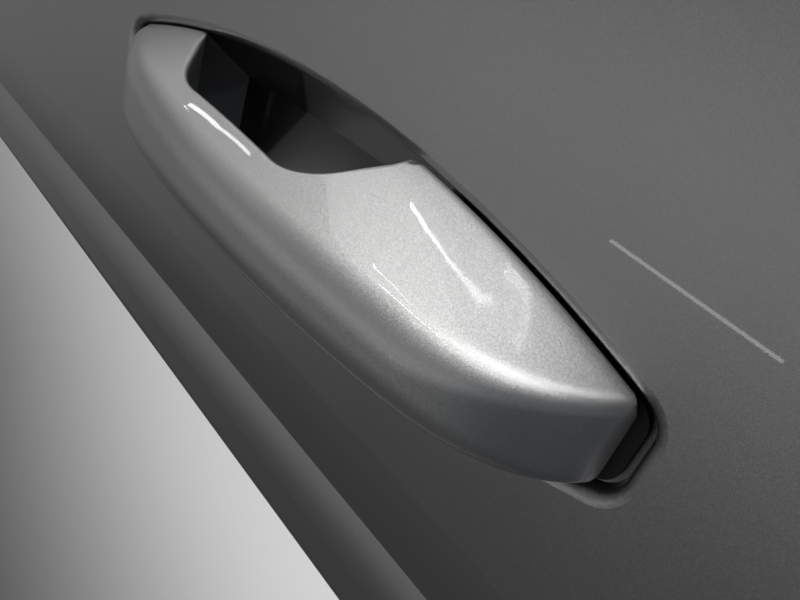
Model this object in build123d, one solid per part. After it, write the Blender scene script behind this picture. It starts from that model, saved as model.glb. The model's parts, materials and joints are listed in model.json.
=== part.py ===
from build123d import *
import os
from math import acos, atan2, cos, degrees, radians, sin, sqrt

# Pull handle of a car's side door, on the section of door skin that it stands in.
# Millimetres. X runs along the handle, +X to its hinge end. +Z is up.
# -Y points out of the door, so the grip faces -Y and the mechanism lies at +Y.
# The origin is midway between the two threaded inserts, on their rear faces.
# A depth is measured from the skin's outer face into the door, a reach out of it.

# Where the fixing faces lie behind the skin's outer face
MOUNT_DEPTH = 38.0

# Door skin: one pressed sheet, seen in section from top to bottom
SHEET = 1.0
SKIN_FAR_X = -300.0
SKIN_NEAR_X = 160.0
SKIN_TOP_Z = 96.0
CROWN_START_Z = 48.0
CROWN_DEPTH = 0.9
SWAGE_TOP_Z = -50.0
SWAGE_LINE_Z = -75.5
SWAGE_LOW_Z = -92.0
SWAGE_DEPTH = 2.6
BAND_DEPTH = 0.2
TUCK_START_Z = -103.0
TUCK_R = 7.0
TUCK_DEPTH = 26.0
TUCK_DROP = 3.0

# Recess pressed round the handle: a leaf-shaped mouth, a ledge at each end and a bowl
RIM_FAR_X = -113.0
RIM_NEAR_X = 116.6
RIM_MID_X = 0.5
RIM_HALF_Z = 29.5
RIM_ARC_R = 363.4
RIM_FAR_R = 9.0
RIM_NEAR_R = 8.0
RIM_FILLET = 3.0
LEDGE_DEPTH = 5.0
LEDGE_DRAFT = 1.2
BOWL_DEPTH = 19.0
BOWL_FAR_X = -69.0
BOWL_NEAR_X = 50.0
BOWL_FAR_RUN = 8.0
BOWL_NEAR_RUN = 14.0
FLOOR_HALF_Z = 13.0
FLOOR_ARC_R = 900.0
FLOOR_END_INSET = 12.0
FLOOR_CORNER_R = 5.0

# Grip, seen from above: an outer bow that bends in at its far end, between two noses
BOW_CENTRE_X = 28.0
BOW_REACH = 32.9
BOW_R = 386.0
BEND_X = -55.0
BEND_R = 130.0
FAR_NOSE_R = 35.0
FAR_NOSE_X = -112.5
NEAR_NOSE_R = 46.0
NEAR_NOSE_X = 113.7
ROOT_DEPTH = 1.0

# Grip, seen from the front: a leaf at its root, a narrow bar at its crest
LEAF_NEAR_X = 112.2
LEAF_MID_X = 0.5
LEAF_HALF_Z = 28.1
LEAF_ARC_R = 362.0
LEAF_FAR_R = 7.0
LEAF_NEAR_R = 4.0
BAR_REACH = 37.0
BAR_MID_X = 40.0
BAR_HALF_Z = 5.7
BAR_ARC_R = 2600.0
BAR_FAR_X = -98.0
BAR_NEAR_X = 116.0
BAR_CORNER_R = 0.8
CREST_FILLET = 8.0

# Finger gap under the grip, seen from above as four corners
GAP_FAR_X = -38.3
GAP_FAR_REACH = 17.2
GAP_NEAR_X = 26.0
GAP_NEAR_REACH = 20.7
GAP_FAR_ROOT_X = -60.0
GAP_NEAR_ROOT_X = 38.8
GAP_FAR_R = 30.0
GAP_NEAR_R = 18.0
GAP_EDGE_R = 1.2

# Hinge of the grip: an upright pin behind the near root
HINGE_X = 102.0
HINGE_DEPTH = 14.0
HINGE_PIN_R = 2.5
HINGE_PLAY = 0.05
LUG_R = 6.0
LUG_HALF_Z = 5.5
EAR_PLAY = 0.5
HINGE_EAR_T = 6.0
HINGE_EAR_R = 7.5
OPEN_ANGLE = 7.0

# Tail of the grip: a shank behind the far root, with a crossbar
TAIL_X = -85.0
TAIL_WIDTH = 8.0
TAIL_HALF_Z = 5.0
CROSSBAR_R = 3.0
CROSSBAR_DEPTH = 42.0
CROSSBAR_LENGTH = 22.0
ROOT_OVERLAP = 3.0

# Crank that the tail pulls, on a level pin below the tail
CRANK_Z = -24.0
CRANK_DEPTH = 24.5
CRANK_PIN_R = 2.5
CRANK_PLAY = 0.05
HUB_R = 6.0
HUB_LENGTH = 25.0
PRONG_T = 4.4
PRONG_ROOT_T = 5.0
PRONG_WIDTH = 5.5
PRONG_PLAY = 0.3
PRONG_SIDE_PLAY = 2.6
PRONG_LENGTH = 30.5
WEIGHT_ARM = 15.0
WEIGHT_R = 6.0
WEIGHT_LENGTH = 12.0
WEIGHT_ANGLE = -45.0
CABLE_ARM = 16.0
CABLE_LUG_R = 5.0
CABLE_LUG_LENGTH = 6.0
NIPPLE_R = 2.6
WIRE_SLOT = 1.6

# Head of the hinge pin
HEAD_R = 4.0
HEAD_T = 1.6

# Carrier: a ribbed plate that everything is fixed to
PLATE_FRONT = 23.0
PLATE_T = 3.0
PLATE_FAR_X = -118.0
PLATE_NEAR_X = 124.0
PLATE_HALF_Z = 30.0
PLATE_CORNER_R = 10.0
LOBE_FAR_X = -112.0
LOBE_NEAR_X = -58.0
LOBE_LOW_Z = -52.0
WINDOW_HALF_X = 14.0
WINDOW_TOP_Z = 13.0
WINDOW_LOW_Z = -47.0
WINDOW_CORNER_R = 3.0
CRANK_EAR_T = 6.0
CRANK_EAR_R = 9.0
RIB_T = 2.0
RIB_HEIGHT = 6.0
RIB_Z = 22.0
RIB_PITCH = 17.0
RIB_COUNT = 5
POCKET_MARGIN = 2.5
POCKET_CORNER_R = 2.0
STUDS = ((-46.0, 40.0), (-46.0, -40.0), (72.0, 38.0), (72.0, -38.0))
STUD_R = 2.5
STUD_END = 33.0
BOSS_R = 6.0
BOSS_PLAY = 0.3
STUD_EAR_R = 8.6
NUT_FLATS = 8.0
NUT_HEIGHT = 4.5
NUT_FLANGE_R = 5.6
NUT_FLANGE_T = 1.4
NUT_PLAY = 0.05
INSERT_X = 52.0
INSERT_R = 4.5
INSERT_BORE_R = 2.5
INSERT_LENGTH = 11.0
MOUNT_BOSS_R = 8.0
CONDUIT_R = 3.5
CONDUIT_TAB_T = 3.0
CONDUIT_TAB_R = 7.5

# Gaskets between the roots and the ledge
GASKET_INSET = 1.2
GASKET_FRONT = 3.0
GASKET_NEAR_X = 54.0
GASKET_FAR_X = -70.0

# Room round the lug and the tail in the openings of the ledge and the gaskets
LUG_ROOM_X = 2.5
LUG_ROOM_Z = 1.2
TAIL_ROOM_X = 2.0
TAIL_ROOM_Z = 4.0

# Torsion spring round the crank's hub, its lower leg held by a hook on the carrier
WIRE_R = 0.9
COIL_R = 7.3
COIL_TURNS = 4
COIL_PITCH = 1.9
LONG_LEG = 20.0
SHORT_LEG = 5.0
HOOK_T = 2.5
HOOK_HALF_X = 2.0
HOOK_HEIGHT = 6.0
HOOK_PLAY = 0.3

# How far a cutting shape runs past what it cuts
BEYOND = 10.0
HALF_HEIGHT = 60.0


def row_y(depth):
    # The row's Y of a plane at this depth behind the skin's outer face
    return depth - MOUNT_DEPTH


def facing(depth):
    # A drawing plane parallel to the skin, its local x and y being X and Z
    return Plane(origin=(0, row_y(depth), 0), x_dir=(1, 0, 0), z_dir=(0, -1, 0))


def across(x):
    # A drawing plane square to the handle, its local x and y being depth and Z
    return Plane(origin=(x, row_y(0), 0), x_dir=(0, 1, 0), z_dir=(1, 0, 0))


def upright(plan):
    # A form drawn from above in X and depth, running as far up as down
    level = Plane(origin=(0, row_y(0), 0), x_dir=(1, 0, 0), z_dir=(0, 0, 1))
    return extrude(level * plan, HALF_HEIGHT, both=True)


def block(x0, x1, depth0, depth1, z0, z1):
    size = (x1 - x0, depth1 - depth0, z1 - z0)
    centre = ((x0 + x1) / 2, row_y((depth0 + depth1) / 2), (z0 + z1) / 2)
    return Pos(*centre) * Box(*size)


def rod(axis, radius, length, x, depth, z):
    # A cylinder centred on a point, along one of the row's axes
    turn = {"X": (0, 90, 0), "Y": (90, 0, 0), "Z": (0, 0, 0)}[axis]
    return Pos(x, row_y(depth), z) * Rot(*turn) * Cylinder(radius, length)


def leaf(far_x, near_x, mid_x, half_z, arc_r, far_r, near_r):
    # Two long arcs of one radius that meet short upright ends, with rounded corners
    far_z = half_z - arc_r + sqrt(arc_r ** 2 - (far_x - mid_x) ** 2)
    near_z = half_z - arc_r + sqrt(arc_r ** 2 - (near_x - mid_x) ** 2)
    outline = make_face([
        ThreePointArc((far_x, far_z), (mid_x, half_z), (near_x, near_z)),
        Line((near_x, near_z), (near_x, -near_z)),
        ThreePointArc((near_x, -near_z), (mid_x, -half_z), (far_x, -far_z)),
        Line((far_x, -far_z), (far_x, far_z)),
    ])
    outline = fillet(outline.vertices().group_by(Axis.X)[0], far_r)
    return fillet(outline.vertices().group_by(Axis.X)[-1], near_r)


def rim_leaf(inset):
    return leaf(
        RIM_FAR_X + inset, RIM_NEAR_X - inset, RIM_MID_X, RIM_HALF_Z - inset,
        RIM_ARC_R - inset, RIM_FAR_R - inset, RIM_NEAR_R - inset,
    )


def lug_opening(depth0, depth1):
    # Room for the grip's lug, which the ledge and the near gasket leave
    half_x = LUG_R + LUG_ROOM_X
    half_z = LUG_HALF_Z + LUG_ROOM_Z
    return block(HINGE_X - half_x, HINGE_X + half_x, depth0, depth1, -half_z, half_z)


def tail_opening(depth0, depth1):
    # Room for the crossbar to go in by and for the shank to swing
    half_x = CROSSBAR_LENGTH / 2 + TAIL_ROOM_X
    half_z = TAIL_HALF_Z + TAIL_ROOM_Z
    return block(TAIL_X - half_x, TAIL_X + half_x, depth0, depth1, -half_z, half_z)


def skin_form(inset):
    # Everything behind the skin's outer face, or behind its inner face
    outline = make_face([
        ThreePointArc(
            (CROWN_DEPTH + inset, SKIN_TOP_Z),
            (CROWN_DEPTH / 4 + inset, (SKIN_TOP_Z + CROWN_START_Z) / 2),
            (inset, CROWN_START_Z),
        ),
        Line((inset, CROWN_START_Z), (inset, SWAGE_TOP_Z)),
        ThreePointArc(
            (inset, SWAGE_TOP_Z),
            (SWAGE_DEPTH / 4 + inset, (SWAGE_TOP_Z + SWAGE_LINE_Z) / 2),
            (SWAGE_DEPTH + inset, SWAGE_LINE_Z),
        ),
        ThreePointArc(
            (SWAGE_DEPTH + inset, SWAGE_LINE_Z),
            ((SWAGE_DEPTH + 3 * BAND_DEPTH) / 4 + inset, (SWAGE_LINE_Z + SWAGE_LOW_Z) / 2),
            (BAND_DEPTH + inset, SWAGE_LOW_Z),
        ),
        Line((BAND_DEPTH + inset, SWAGE_LOW_Z), (BAND_DEPTH + inset, TUCK_START_Z)),
        CenterArc((BAND_DEPTH + TUCK_R, TUCK_START_Z), TUCK_R - inset, 180, 90),
        Line(
            (BAND_DEPTH + TUCK_R, TUCK_START_Z - TUCK_R + inset),
            (TUCK_DEPTH, TUCK_START_Z - TUCK_R - TUCK_DROP + inset),
        ),
        Line((TUCK_DEPTH, TUCK_START_Z - TUCK_R - TUCK_DROP + inset), (TUCK_DEPTH, SKIN_TOP_Z)),
        Line((TUCK_DEPTH, SKIN_TOP_Z), (CROWN_DEPTH + inset, SKIN_TOP_Z)),
    ])
    return extrude(across(SKIN_FAR_X) * outline, SKIN_NEAR_X - SKIN_FAR_X)


def shelf(edge_x, run, end_x, grow):
    # What fills the bowl behind a ledge, with a sloping side towards the floor
    side = 1 if end_x > edge_x else -1
    drop = BOWL_DEPTH - LEDGE_DEPTH
    shift = side * grow * (sqrt(run ** 2 + drop ** 2) - run) / drop
    top = LEDGE_DEPTH + grow
    bottom = BOWL_DEPTH + BEYOND
    far_run = run * (bottom - top) / drop
    return upright(make_face(Polyline(
        (edge_x + shift, top), (end_x, top), (end_x, bottom),
        (edge_x + shift - side * far_run, bottom), close=True,
    )))


def recess(grow):
    # The hollow in front of the pressing, or in front of its rear face
    slope = LEDGE_DRAFT / LEDGE_DEPTH
    mouth = facing(-BEYOND / 2) * rim_leaf(-grow - BEYOND / 2 * slope)
    knee = facing(LEDGE_DEPTH) * rim_leaf(-grow + LEDGE_DRAFT)
    floor = facing(BOWL_DEPTH + grow) * leaf(
        RIM_FAR_X + FLOOR_END_INSET - grow, RIM_NEAR_X - FLOOR_END_INSET + grow, RIM_MID_X,
        FLOOR_HALF_Z + grow, FLOOR_ARC_R, FLOOR_CORNER_R + grow, FLOOR_CORNER_R + grow,
    )
    hollow = loft([mouth, knee, floor], ruled=True)
    hollow -= shelf(BOWL_NEAR_X, BOWL_NEAR_RUN, RIM_NEAR_X + BEYOND, grow)
    hollow -= shelf(BOWL_FAR_X, BOWL_FAR_RUN, RIM_FAR_X - BEYOND, grow)
    return hollow


def door_skin():
    front = skin_form(0.0) - recess(0.0)
    rim = [
        edge for edge in front.edges()
        if abs(edge.bounding_box().min.Y - row_y(0)) < 0.01
        and abs(edge.bounding_box().max.Y - row_y(0)) < 0.01
        and abs(edge.center().Z) < RIM_HALF_Z + RIM_FILLET
        and RIM_FAR_X - RIM_FILLET < edge.center().X < RIM_NEAR_X + RIM_FILLET
    ]
    front = fillet(rim, RIM_FILLET)
    sheet = front - (skin_form(SHEET) - recess(SHEET))
    sheet -= lug_opening(LEDGE_DEPTH - SHEET, LEDGE_DEPTH + 2 * SHEET)
    sheet -= tail_opening(LEDGE_DEPTH - SHEET, LEDGE_DEPTH + 2 * SHEET)
    return sheet


def arc_about(centre, start, end):
    # The shorter arc between two points, about the centre that both are as far from
    reach = Vector(*start) - Vector(*centre)
    middle = (reach + Vector(*end) - Vector(*centre)).normalized() * reach.length
    return ThreePointArc(start, Vector(*centre) + middle, end)


def on_arc(centre, radius, x):
    # The point at this X on the outer side of an arc about the centre
    return x, centre[1] - sqrt(radius ** 2 - (x - centre[0]) ** 2)


def inner_centre(centre, radius, join, inner_radius):
    # Centre of a smaller arc that runs tangent inside a larger one from a point on it
    share = 1 - inner_radius / radius
    return tuple(c + (j - c) * share for c, j in zip(centre, join))


def nose(centre, radius, end_x, nose_radius, side):
    # Centre of a nose inside an arc, the point where they meet, and its end at the root
    x = end_x - side * nose_radius
    x, y = on_arc(centre, radius - nose_radius, x)
    share = radius / (radius - nose_radius)
    join = (centre[0] + (x - centre[0]) * share, centre[1] + (y - centre[1]) * share)
    end = (x + side * sqrt(nose_radius ** 2 - (ROOT_DEPTH - y) ** 2), ROOT_DEPTH)
    return (x, y), join, end


def grip_plan():
    # Seen from above: the bow, its bend, and a nose at each end that runs tangent from them
    bow = (BOW_CENTRE_X, BOW_R - BOW_REACH)
    bend_start = on_arc(bow, BOW_R, BEND_X)
    bend = inner_centre(bow, BOW_R, bend_start, BEND_R)
    near, near_join, near_end = nose(bow, BOW_R, NEAR_NOSE_X, NEAR_NOSE_R, 1)
    far, far_join, far_end = nose(bend, BEND_R, FAR_NOSE_X, FAR_NOSE_R, -1)
    return make_face([
        arc_about(near, near_end, near_join),
        ThreePointArc(near_join, (BOW_CENTRE_X, -BOW_REACH), bend_start),
        arc_about(bend, bend_start, far_join),
        arc_about(far, far_join, far_end),
        Line(far_end, near_end),
    ])


def gap_form():
    # The finger gap, seen from above: two sloping sides and the grip's inner face
    corners = [
        (GAP_FAR_ROOT_X, 0.0),
        (GAP_FAR_X, -GAP_FAR_REACH),
        (GAP_NEAR_X, -GAP_NEAR_REACH),
        (GAP_NEAR_ROOT_X, 0.0),
    ]
    front = FilletPolyline(*corners, radius=(GAP_FAR_R, GAP_NEAR_R))
    far_slope = (GAP_FAR_X - GAP_FAR_ROOT_X) / GAP_FAR_REACH
    near_slope = (GAP_NEAR_ROOT_X - GAP_NEAR_X) / GAP_NEAR_REACH
    behind = 3 * ROOT_DEPTH
    back = Polyline(
        corners[3], (GAP_NEAR_ROOT_X + near_slope * behind, behind),
        (GAP_FAR_ROOT_X - far_slope * behind, behind), corners[0],
    )
    return upright(make_face([*front.edges(), *back.edges()]))


def lug():
    # The grip's half of the hinge, behind the near root
    body = rod("Z", LUG_R, 2 * LUG_HALF_Z, HINGE_X, HINGE_DEPTH, 0)
    body += block(
        HINGE_X - LUG_R, HINGE_X + LUG_R, ROOT_DEPTH - ROOT_OVERLAP, HINGE_DEPTH,
        -LUG_HALF_Z, LUG_HALF_Z,
    )
    return body - rod("Z", HINGE_PIN_R + HINGE_PLAY, 4 * LUG_HALF_Z, HINGE_X, HINGE_DEPTH, 0)


def tail():
    # The shank and the crossbar behind the far root
    body = block(
        TAIL_X - TAIL_WIDTH / 2, TAIL_X + TAIL_WIDTH / 2, ROOT_DEPTH - ROOT_OVERLAP,
        CROSSBAR_DEPTH, -TAIL_HALF_Z, TAIL_HALF_Z,
    )
    return body + rod("X", CROSSBAR_R, CROSSBAR_LENGTH, TAIL_X, CROSSBAR_DEPTH, 0)


def grip():
    root = facing(ROOT_DEPTH) * leaf(
        FAR_NOSE_X, LEAF_NEAR_X, LEAF_MID_X, LEAF_HALF_Z, LEAF_ARC_R, LEAF_FAR_R, LEAF_NEAR_R,
    )
    bar = facing(-BAR_REACH) * leaf(
        BAR_FAR_X, BAR_NEAR_X, BAR_MID_X, BAR_HALF_Z, BAR_ARC_R, BAR_CORNER_R, BAR_CORNER_R,
    )
    body = loft([root, bar], ruled=True) & upright(grip_plan())
    crest = [
        edge for edge in body.edges()
        if edge.bounding_box().min.Y < row_y(-CREST_FILLET / 2)
        and abs(edge.center().Z) > BAR_HALF_Z
    ]
    body = fillet(crest, CREST_FILLET)
    body -= gap_form()
    gap_edges = [
        edge for edge in body.edges()
        if GAP_FAR_ROOT_X - GAP_EDGE_R < edge.center().X < GAP_NEAR_ROOT_X + GAP_EDGE_R
        and row_y(-GAP_NEAR_REACH - GAP_EDGE_R) < edge.center().Y < row_y(ROOT_DEPTH / 2)
        and edge.bounding_box().size.X > GAP_EDGE_R
    ]
    return fillet(gap_edges, GAP_EDGE_R) + lug() + tail()


def prong_x():
    # Where each prong starts and ends, measured from the middle of the crank
    inner = TAIL_WIDTH / 2 + PRONG_SIDE_PLAY
    return inner, inner + PRONG_WIDTH


def lean_to(depth):
    # How far the prongs lean into the door to meet the crossbar at this depth
    reach = depth - CRANK_DEPTH
    arm = sqrt(reach ** 2 + CRANK_Z ** 2)
    stand_off = CROSSBAR_R + PRONG_T / 2 + PRONG_PLAY
    return degrees(acos(stand_off / arm) - atan2(-CRANK_Z, reach))


def open_depth():
    # Depth of the crossbar at the far prong with the grip pulled, where they meet first
    along = TAIL_X - prong_x()[1] - HINGE_X
    inward = CROSSBAR_DEPTH - HINGE_DEPTH
    angle = radians(OPEN_ANGLE)
    return HINGE_DEPTH + along * sin(angle) + inward * cos(angle)


def crank_swing():
    return lean_to(CROSSBAR_DEPTH) - lean_to(open_depth())


def crank_axis():
    return Axis((0, row_y(CRANK_DEPTH), CRANK_Z), (1, 0, 0))


def swung(solid):
    # Turn a crank part, drawn with its prongs upright, to its place at rest
    return solid.rotate(crank_axis(), -lean_to(CROSSBAR_DEPTH))


def at_crank_angle(arm, angle):
    # Depth and Z of a point on the crank, at an angle from +Y towards +Z
    return CRANK_DEPTH + arm * cos(radians(angle)), CRANK_Z + arm * sin(radians(angle))


def prong():
    # Flat behind, where the crossbar bears, tapered in front, round at the tip
    tip_z = CRANK_Z + PRONG_LENGTH
    outline = make_face(Polyline(
        (CRANK_DEPTH + PRONG_T / 2, CRANK_Z), (CRANK_DEPTH + PRONG_T / 2, tip_z),
        (CRANK_DEPTH - PRONG_T / 2, tip_z), (CRANK_DEPTH - PRONG_ROOT_T, CRANK_Z), close=True,
    ))
    outline += Pos(CRANK_DEPTH, tip_z) * Circle(PRONG_T / 2)
    return extrude(across(0) * outline, PRONG_WIDTH)


def crank():
    body = rod("X", HUB_R, HUB_LENGTH, TAIL_X, CRANK_DEPTH, CRANK_Z)
    inner, outer = prong_x()
    for x in (TAIL_X - outer, TAIL_X + inner):
        body += Pos(x, 0, 0) * prong()
    depth, z = at_crank_angle(CABLE_ARM, 0)
    lug_x = TAIL_X - HUB_LENGTH / 2 + CABLE_LUG_LENGTH / 2
    body += rod("X", CABLE_LUG_R, CABLE_LUG_LENGTH, lug_x, depth, z)
    body += block(
        lug_x - CABLE_LUG_LENGTH / 2, lug_x + CABLE_LUG_LENGTH / 2, CRANK_DEPTH, depth,
        z - CABLE_LUG_R, z + CABLE_LUG_R,
    )
    body -= rod("X", NIPPLE_R, 2 * CABLE_LUG_LENGTH, lug_x, depth, z)
    body -= block(
        lug_x - WIRE_SLOT / 2, lug_x + WIRE_SLOT / 2, depth - WIRE_SLOT / 2,
        depth + WIRE_SLOT / 2, z - 2 * CABLE_LUG_R, z,
    )
    arm = block(
        TAIL_X + inner, TAIL_X + outer, CRANK_DEPTH, CRANK_DEPTH + WEIGHT_ARM,
        CRANK_Z - WEIGHT_R / 2, CRANK_Z + WEIGHT_R / 2,
    )
    body += arm.rotate(crank_axis(), WEIGHT_ANGLE)
    body -= weight_form()
    body -= rod("X", CRANK_PIN_R + CRANK_PLAY, 2 * HUB_LENGTH, TAIL_X, CRANK_DEPTH, CRANK_Z)
    return swung(body)


def weight_form():
    depth, z = at_crank_angle(WEIGHT_ARM, WEIGHT_ANGLE)
    x = TAIL_X + HUB_LENGTH / 2 - WEIGHT_LENGTH / 2
    return rod("X", WEIGHT_R, WEIGHT_LENGTH, x, depth, z)


def counterweight():
    return swung(weight_form())


def rounded_window(x0, x1, z0, z1, radius):
    return Pos((x0 + x1) / 2, (z0 + z1) / 2) * RectangleRounded(x1 - x0, z1 - z0, radius)


def plate_outline():
    # The carrier's plate with its lobe below, its stud ears and the crank's window
    outline = rounded_window(
        PLATE_FAR_X, PLATE_NEAR_X, -PLATE_HALF_Z, PLATE_HALF_Z, PLATE_CORNER_R,
    )
    outline += rounded_window(LOBE_FAR_X, LOBE_NEAR_X, LOBE_LOW_Z, 0, PLATE_CORNER_R)
    for x, z in STUDS:
        outline += Pos(x, z) * Circle(STUD_EAR_R)
        outline += Pos(x, z / 2) * Rectangle(2 * STUD_EAR_R, abs(z))
    return outline - rounded_window(
        TAIL_X - WINDOW_HALF_X, TAIL_X + WINDOW_HALF_X, WINDOW_LOW_Z, WINDOW_TOP_Z,
        WINDOW_CORNER_R,
    )


def rib_lines():
    # Cross ribs between the inserts, two at the hinge ears, and three long ones
    first = -RIB_PITCH * (RIB_COUNT - 1) / 2
    cross = [first + RIB_PITCH * i for i in range(RIB_COUNT)]
    cross += [HINGE_X - HINGE_EAR_R, HINGE_X + HINGE_EAR_R]
    lines = Sketch()
    for x in cross:
        lines += Pos(x, 0) * Rectangle(RIB_T, 2 * RIB_Z)
    length = PLATE_NEAR_X - PLATE_FAR_X
    for z in (-RIB_Z, RIB_Z):
        lines += Pos((PLATE_NEAR_X + PLATE_FAR_X) / 2, z) * Rectangle(length, RIB_T)
    return lines + Rectangle(2 * INSERT_X, RIB_T)


def pockets():
    # Openings that lighten the plate, one in each field of the cross ribs
    first = -RIB_PITCH * (RIB_COUNT - 1) / 2
    margin = RIB_T / 2 + POCKET_MARGIN
    fields = Sketch()
    for i in range(RIB_COUNT - 1):
        x = first + RIB_PITCH * i
        for z0, z1 in ((margin, RIB_Z - margin), (margin - RIB_Z, -margin)):
            fields += rounded_window(x + margin, x + RIB_PITCH - margin, z0, z1, POCKET_CORNER_R)
    return fields


def conduit_tab():
    # The shelf below the crank that holds the cable's conduit
    z = LOBE_LOW_Z + CONDUIT_TAB_T / 2
    depth = CRANK_DEPTH + CABLE_ARM
    x = TAIL_X - HUB_LENGTH / 2 + CABLE_LUG_LENGTH / 2
    body = rod("Z", CONDUIT_TAB_R, CONDUIT_TAB_T, x, depth, z)
    body += block(
        x - CONDUIT_TAB_R, x + CONDUIT_TAB_R, PLATE_FRONT, depth,
        LOBE_LOW_Z, LOBE_LOW_Z + CONDUIT_TAB_T,
    )
    return body - rod("Z", CONDUIT_R, 3 * CONDUIT_TAB_T, x, depth, z)


def spring_hook():
    # Holds the spring's lower leg from behind, at the window's lower edge
    front = CRANK_DEPTH + COIL_R + WIRE_R + HOOK_PLAY
    x = spring_start_x()
    body = block(
        x - HOOK_HALF_X, x + HOOK_HALF_X, front, front + HOOK_T,
        WINDOW_LOW_Z - HOOK_T, WINDOW_LOW_Z + HOOK_HEIGHT,
    )
    return body + block(
        x - HOOK_HALF_X, x + HOOK_HALF_X, PLATE_FRONT, front + HOOK_T,
        WINDOW_LOW_Z - HOOK_T, WINDOW_LOW_Z,
    )


def carrier():
    outline = plate_outline()
    web = outline - offset(outline, -RIB_T) + (rib_lines() & outline)
    back = PLATE_FRONT + PLATE_T
    body = extrude(facing(back) * (outline - pockets()), PLATE_T)
    body += extrude(facing(back + RIB_HEIGHT) * web, RIB_HEIGHT)
    for x in (-INSERT_X, INSERT_X):
        body += rod(
            "Y", MOUNT_BOSS_R, MOUNT_DEPTH - PLATE_FRONT, x, (MOUNT_DEPTH + PLATE_FRONT) / 2, 0,
        )
    for x, z in STUDS:
        body += rod("Y", BOSS_R, back - SHEET, x, (back + SHEET) / 2, z)
    for side in (-1, 1):
        x = TAIL_X + side * (WINDOW_HALF_X + CRANK_EAR_T / 2)
        body += rod("X", CRANK_EAR_R, CRANK_EAR_T, x, CRANK_DEPTH, CRANK_Z)
    for side in (-1, 1):
        z = side * (LUG_HALF_Z + EAR_PLAY + HINGE_EAR_T / 2)
        body += rod("Z", HINGE_EAR_R, HINGE_EAR_T, HINGE_X, HINGE_DEPTH, z)
        body += block(
            HINGE_X - HINGE_EAR_R, HINGE_X + HINGE_EAR_R, HINGE_DEPTH, PLATE_FRONT,
            z - HINGE_EAR_T / 2, z + HINGE_EAR_T / 2,
        )
    body += conduit_tab() + spring_hook()
    for x in (-INSERT_X, INSERT_X):
        body -= rod("Y", INSERT_R, INSERT_LENGTH, x, MOUNT_DEPTH - INSERT_LENGTH / 2, 0)
    for x, z in STUDS:
        body -= rod("Y", STUD_R + BOSS_PLAY, 2 * back, x, back, z)
    body -= rod("Z", HINGE_PIN_R, hinge_pin_length(), HINGE_X, HINGE_DEPTH, 0)
    return body - rod("X", CRANK_PIN_R, crank_pin_length(), TAIL_X, CRANK_DEPTH, CRANK_Z)


def hinge_pin_length():
    return 2 * (LUG_HALF_Z + EAR_PLAY + HINGE_EAR_T)


def crank_pin_length():
    return 2 * (WINDOW_HALF_X + CRANK_EAR_T)


def hinge_pin():
    length = hinge_pin_length()
    pin = rod("Z", HINGE_PIN_R, length, HINGE_X, HINGE_DEPTH, 0)
    return pin + rod("Z", HEAD_R, HEAD_T, HINGE_X, HINGE_DEPTH, (length + HEAD_T) / 2)


def crank_pin():
    return rod("X", CRANK_PIN_R, crank_pin_length(), TAIL_X, CRANK_DEPTH, CRANK_Z)


def brass_inserts():
    pieces = []
    for x in (-INSERT_X, INSERT_X):
        sleeve = rod("Y", INSERT_R, INSERT_LENGTH, x, MOUNT_DEPTH - INSERT_LENGTH / 2, 0)
        sleeve -= rod("Y", INSERT_BORE_R, 2 * INSERT_LENGTH, x, MOUNT_DEPTH, 0)
        pieces.append(sleeve)
    return Compound(children=pieces)


def weld_studs():
    pieces = []
    for x, z in STUDS:
        pieces.append(rod("Y", STUD_R, STUD_END - SHEET, x, (STUD_END + SHEET) / 2, z))
    return Compound(children=pieces)


def flange_nuts():
    pieces = []
    seat = PLATE_FRONT + PLATE_T
    for x, z in STUDS:
        outline = RegularPolygon(NUT_FLATS / 2, 6, major_radius=False)
        nut = extrude(facing(seat + NUT_HEIGHT) * (Pos(x, z) * outline), NUT_HEIGHT)
        nut += rod("Y", NUT_FLANGE_R, NUT_FLANGE_T, x, seat + NUT_FLANGE_T / 2, z)
        nut -= rod("Y", STUD_R + NUT_PLAY, 4 * NUT_HEIGHT, x, seat, z)
        pieces.append(nut)
    return Compound(children=pieces)


def gasket(x0, x1):
    outline = rim_leaf(LEDGE_DRAFT + GASKET_INSET)
    pad = extrude(facing(LEDGE_DEPTH) * outline, LEDGE_DEPTH - GASKET_FRONT)
    return pad & block(x0, x1, 0, LEDGE_DEPTH, -RIM_HALF_Z, RIM_HALF_Z)


def near_gasket():
    return gasket(GASKET_NEAR_X, RIM_NEAR_X) - lug_opening(0, LEDGE_DEPTH)


def far_gasket():
    return gasket(RIM_FAR_X, GASKET_FAR_X) - tail_opening(0, LEDGE_DEPTH)


def spring_start_x():
    return TAIL_X - COIL_TURNS * COIL_PITCH / 2


def return_spring():
    # The coil starts and ends behind the hub, where its legs run down and up
    path = Helix(pitch=COIL_PITCH, height=COIL_TURNS * COIL_PITCH, radius=COIL_R)
    section = Plane(origin=path @ 0, z_dir=path % 0) * Circle(WIRE_R)
    spring = sweep(section, path=path, is_frenet=True)
    for end, leg in ((0, -LONG_LEG), (1, SHORT_LEG)):
        root = Plane(origin=path @ end, z_dir=path % end)
        spring += extrude(root * Circle(WIRE_R), leg)
    turned = Rot(90, 0, 0) * Rot(0, 90, 0) * spring
    return Pos(spring_start_x(), row_y(CRANK_DEPTH), CRANK_Z) * turned


NODES = {
    "door_skin": door_skin,
    "weld_studs": weld_studs,
    "carrier": carrier,
    "brass_inserts": brass_inserts,
    "flange_nuts": flange_nuts,
    "near_gasket": near_gasket,
    "far_gasket": far_gasket,
    "hinge_pin": hinge_pin,
    "crank_pin": crank_pin,
    "return_spring": return_spring,
    "grip": grip,
    "crank": crank,
    "counterweight": counterweight,
}

os.makedirs("parts", exist_ok=True)
print("crank leans", round(lean_to(CROSSBAR_DEPTH), 4), "swings", round(crank_swing(), 4))
for name, make in NODES.items():
    export_step(make(), f"parts/{name}.step")
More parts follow.
